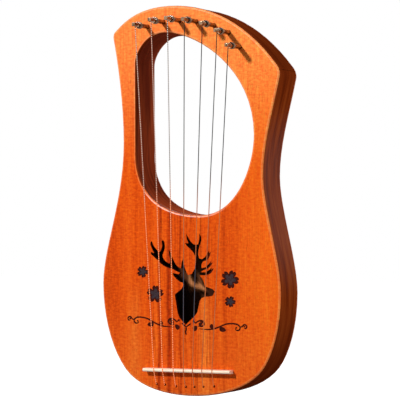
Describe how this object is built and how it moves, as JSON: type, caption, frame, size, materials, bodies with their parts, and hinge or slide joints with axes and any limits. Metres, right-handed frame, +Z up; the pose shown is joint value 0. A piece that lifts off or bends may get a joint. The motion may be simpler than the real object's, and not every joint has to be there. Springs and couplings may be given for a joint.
{
  "type": "lyre harp",
  "caption": "Small lyre harp with an egg-shaped opening, a stag's-head sound hole, a slim saddle and turning tuning pins.",
  "frame": {"origin": "On the flat of the back, behind the middle of the lower bout", "axes": "+Z up towards the pins, -Y out of the soundboard towards the listener, +X towards the treble side"},
  "size_m": [0.216, 0.069, 0.4106],
  "materials": {
    "face_mahogany": "satin",
    "dark_mahogany": "satin",
    "spruce": "raw",
    "cream_saddle": "satin",
    "nickel": "polished",
    "string_steel": "plated",
    "brass": "plain"
  },
  "bodies": {
    "harp": {"soundboard": "face_mahogany", "back_board": "face_mahogany", "top_arch": "dark_mahogany", "bass_side": "dark_mahogany", "treble_side": "dark_mahogany", "tail_block": "dark_mahogany", "opening_lining": "dark_mahogany", "soundboard_brace": "spruce", "back_brace": "spruce", "bridge_saddle": "cream_saddle", "string_1": "string_steel", "string_2": "string_steel", "string_3": "string_steel", "string_4": "string_steel", "string_5": "string_steel", "string_6": "string_steel", "string_7": "string_steel", "ball_end_1": "brass", "ball_end_2": "brass", "ball_end_3": "brass", "ball_end_4": "brass", "ball_end_5": "brass", "ball_end_6": "brass", "ball_end_7": "brass"},
    "pin_1": {"tuning_pin_1": "nickel", "string_winding_1": "string_steel"},
    "pin_2": {"tuning_pin_2": "nickel", "string_winding_2": "string_steel"},
    "pin_3": {"tuning_pin_3": "nickel", "string_winding_3": "string_steel"},
    "pin_4": {"tuning_pin_4": "nickel", "string_winding_4": "string_steel"},
    "pin_5": {"tuning_pin_5": "nickel", "string_winding_5": "string_steel"},
    "pin_6": {"tuning_pin_6": "nickel", "string_winding_6": "string_steel"},
    "pin_7": {"tuning_pin_7": "nickel", "string_winding_7": "string_steel"}
  },
  "joints": [
    {"name": "pin_1_turn", "type": "hinge", "parent": "harp", "child": "pin_1", "pos_m": [-0.0451, -0.04, 0.2807], "axis": [0, 1, 0], "range_deg": [-900, 90]},
    {"name": "pin_2_turn", "type": "hinge", "parent": "harp", "child": "pin_2", "pos_m": [-0.0255, -0.04, 0.2846], "axis": [0, 1, 0], "range_deg": [-900, 90]},
    {"name": "pin_3_turn", "type": "hinge", "parent": "harp", "child": "pin_3", "pos_m": [-0.0056, -0.04, 0.2851], "axis": [0, 1, 0], "range_deg": [-900, 90]},
    {"name": "pin_4_turn", "type": "hinge", "parent": "harp", "child": "pin_4", "pos_m": [0.0148, -0.04, 0.2828], "axis": [0, 1, 0], "range_deg": [-900, 90]},
    {"name": "pin_5_turn", "type": "hinge", "parent": "harp", "child": "pin_5", "pos_m": [0.0361, -0.04, 0.2776], "axis": [0, 1, 0], "range_deg": [-900, 90]},
    {"name": "pin_6_turn", "type": "hinge", "parent": "harp", "child": "pin_6", "pos_m": [0.0534, -0.04, 0.2692], "axis": [0, 1, 0], "range_deg": [-900, 90]},
    {"name": "pin_7_turn", "type": "hinge", "parent": "harp", "child": "pin_7", "pos_m": [0.0664, -0.04, 0.2535], "axis": [0, 1, 0], "range_deg": [-900, 90]}
  ]
}
